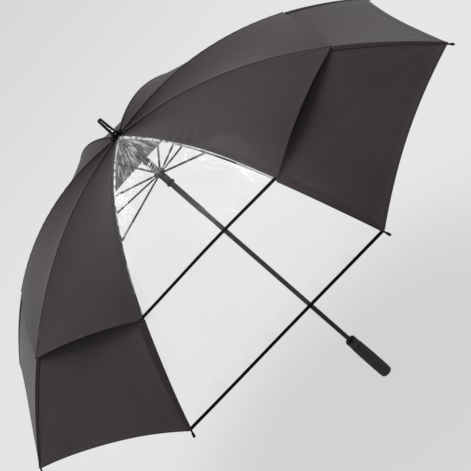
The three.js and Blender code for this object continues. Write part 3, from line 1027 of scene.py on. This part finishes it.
def make_shaft():
    tube = [(5.8, 24), (5.8, 957.4), (5.4, 958), (5.0, 958), (5.0, 24)]
    shaft = lathe("shaft_tube", tube, SHAFT_BLACK, closed=True)
    on_body(shaft, "shaft_and_handle", "shaft_black", "shaft")
    body = [(6.1, 958.3), (6.1, 935), (9, 935), (9, 940), (7.4, 944), (5.9, 984), (4.4, 986)]
    ferrule = lathe("ferrule_body", eased(body, 1.1), GLOSS_BLACK)
    on_body(ferrule, "shaft_and_handle", "gloss_black", "ferrule")
    low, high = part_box("stop_ring")
    bottom, top = low.z / MM, high.z / MM
    ring = [(6.1, bottom), (8.4, bottom), (9, bottom + 0.6), (9, top - 0.6), (8.4, top), (6.1, top)]
    on_body(lathe("stop_ring_body", ring, BLACK_PLASTIC, closed=True), "shaft_and_handle",
            "black_plastic", "stop_ring")
    make_buffer_spring()
    on_body(wire_ring("crown_wire", PIVOT_Z), "shaft_and_handle", "spring_steel")


def make_buffer_spring():
    """Four open coils between a closed coil at each end."""
    low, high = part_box("buffer_spring")
    turns = np.linspace(0, SPRING_TURNS, 340)
    open_turns = SPRING_TURNS - 2 * SPRING_END_TURNS
    rise = np.clip((turns - SPRING_END_TURNS) / open_turns, 0, 1)
    rise = 0.9 * rise + 0.1 * rise * rise * (3 - 2 * rise)
    first = np.minimum(turns, SPRING_END_TURNS)
    z = low.z + SPRING_WIRE_RADIUS + SPRING_END_RISE * first / SPRING_END_TURNS
    z = z + rise * (high.z - low.z - 2 * SPRING_WIRE_RADIUS - 2 * SPRING_END_RISE)
    last = np.maximum(0, turns - (SPRING_TURNS - SPRING_END_TURNS))
    z = z + SPRING_END_RISE * last / SPRING_END_TURNS
    angle = math.tau * turns
    path = np.stack([SPRING_RADIUS * np.cos(angle), SPRING_RADIUS * np.sin(angle), z], -1)
    spring = sweep("buffer_spring_wire", path, circle(SPRING_WIRE_RADIUS, 12), (0, 0, 1), STEEL)
    on_body(spring, "shaft_and_handle", "spring_steel", "buffer_spring")


def wire_ring(name, height):
    """The wire that every rod on a slotted ring is threaded on."""
    angles = np.arange(97) * math.tau / 96
    path = np.stack([PIVOT_RADIUS * np.cos(angles), PIVOT_RADIUS * np.sin(angles),
                     np.full(97, height)], -1)
    return sweep(name, path, circle(RING_WIRE_RADIUS, 10), (0, 0, 1), STEEL)


def make_runner():
    z = RUNNER_Z / MM
    profile = [(6.1, z - 4.9), (8.5, z - 4.9), (8.5, z - 33), (10.5, z - 34.5), (10.5, z - 38),
               (6.9, z - 40), (6.9, z - 142), (6.1, z - 142)]
    sleeve = eased(profile, 0.8)
    on_body(lathe("runner_body", sleeve, BLACK_PLASTIC, closed=True), "runner", "black_plastic",
            "runner_sleeve")
    on_body(wire_ring("runner_wire", RUNNER_Z), "runner", "spring_steel")


# ---- Handle ----
def make_handle():
    outline = [(0.01, 0), (14.6, 0), (15.4, 6), (15.8, 30), (15.8, 62), (15.2, 100), (14.8, 117.2),
               (13.6, 119.7), (6.1, 119.7), (6.1, 23.7)]
    grip = lathe("grip_body", eased(outline, 3.6, 6), GRIP_FOAM, 96)
    on_body(grip, "shaft_and_handle", "grip_foam", "handle_grip")
    make_button()


def rounded_ring(depth, scale):
    """A rounded rectangle the size of the button, facing -Y."""
    points = 44
    angles = np.arange(points) * math.tau / points
    c, s = np.cos(angles), np.sin(angles)
    x = BUTTON_HALF_WIDTH * scale * np.sign(c) * abs(c) ** 0.45
    z = BUTTON_Z + BUTTON_HALF_HEIGHT * scale * np.sign(s) * abs(s) ** 0.45
    return np.stack([x, np.full(points, -depth), z], -1)


def make_button():
    levels = [(0.011, 1), (0.0145, 1), (0.0150, 0.97), (0.0153, 0.91), (0.0154, 0.82),
              (0.0152, 0.7), (0.0150, 0.5), (0.0149, 0.2)]
    rings = np.array([rounded_ring(depth, scale) for depth, scale in levels])
    button = stack("button_cap", rings, BUTTON_PLASTIC)
    on_body(button, "release_button", "button_plastic", "release_button")


# ---- CAD pieces that keep their shape ----
def finish_cad_nodes():
    finishes = {
        "crown_notch": BLACK_PLASTIC,
        "runner_collar": BLACK_PLASTIC,
        "handle_collar": BLACK_PLASTIC,
        "button_spring": STEEL,
    }
    for node, material in finishes.items():
        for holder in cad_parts[node].material_slots:
            holder.material = material


# ---- Studio ----
def make_camera():
    data = bpy.data.cameras.new("camera")
    data.lens = CAMERA_LENS
    data.sensor_width = 36
    data.clip_end = 100
    camera = bpy.data.objects.new("camera", data)
    columns = zip(CAMERA_RIGHT, CAMERA_UP, CAMERA_BACK, CAMERA_AT)
    camera.matrix_world = Matrix([*columns, (0, 0, 0, 1)])
    bpy.context.scene.collection.objects.link(camera)
    bpy.context.scene.camera = camera


def soft_light(name, at, towards, size, power, spread):
    """A square area light that the camera doesn't see."""
    data = bpy.data.lights.new(name, "AREA")
    data.shape = "SQUARE"
    data.size = size
    data.energy = power
    data.spread = math.radians(spread)
    light = bpy.data.objects.new(name, data)
    light.visible_camera = False
    bpy.context.scene.collection.objects.link(light)
    away = np.asarray(at, float) - np.asarray(towards, float)
    z = away / np.linalg.norm(away)
    x = np.cross((0.3, 1, 0.2), z)
    x /= np.linalg.norm(x)
    y = np.cross(z, x)
    light.matrix_world = Matrix([*zip(x, y, z, at), (0, 0, 0, 1)])


def make_studio():
    corners = [(x * FLOOR_REACH, y * FLOOR_REACH, FLOOR_Z) for x, y in ((-1, -1), (1, -1), (1, 1), (-1, 1))]
    floor = mesh_object("floor", corners, [(0, 1, 2, 3)], floor_material())
    world = bpy.data.worlds.new("studio")
    world.use_nodes = True
    sky = world.node_tree.nodes["Background"]
    sky.inputs["Color"].default_value = (1, 1, 1, 1)
    sky.inputs["Strength"].default_value = SKY_STRENGTH
    bpy.context.scene.world = world
    for name, settings in LIGHTS.items():
        soft_light(name, **settings)


make_camera()
make_canopy()
make_ribs()
make_shaft()
make_runner()
make_handle()
finish_cad_nodes()
make_studio()
bpy.context.scene.view_settings.view_transform = "Standard"
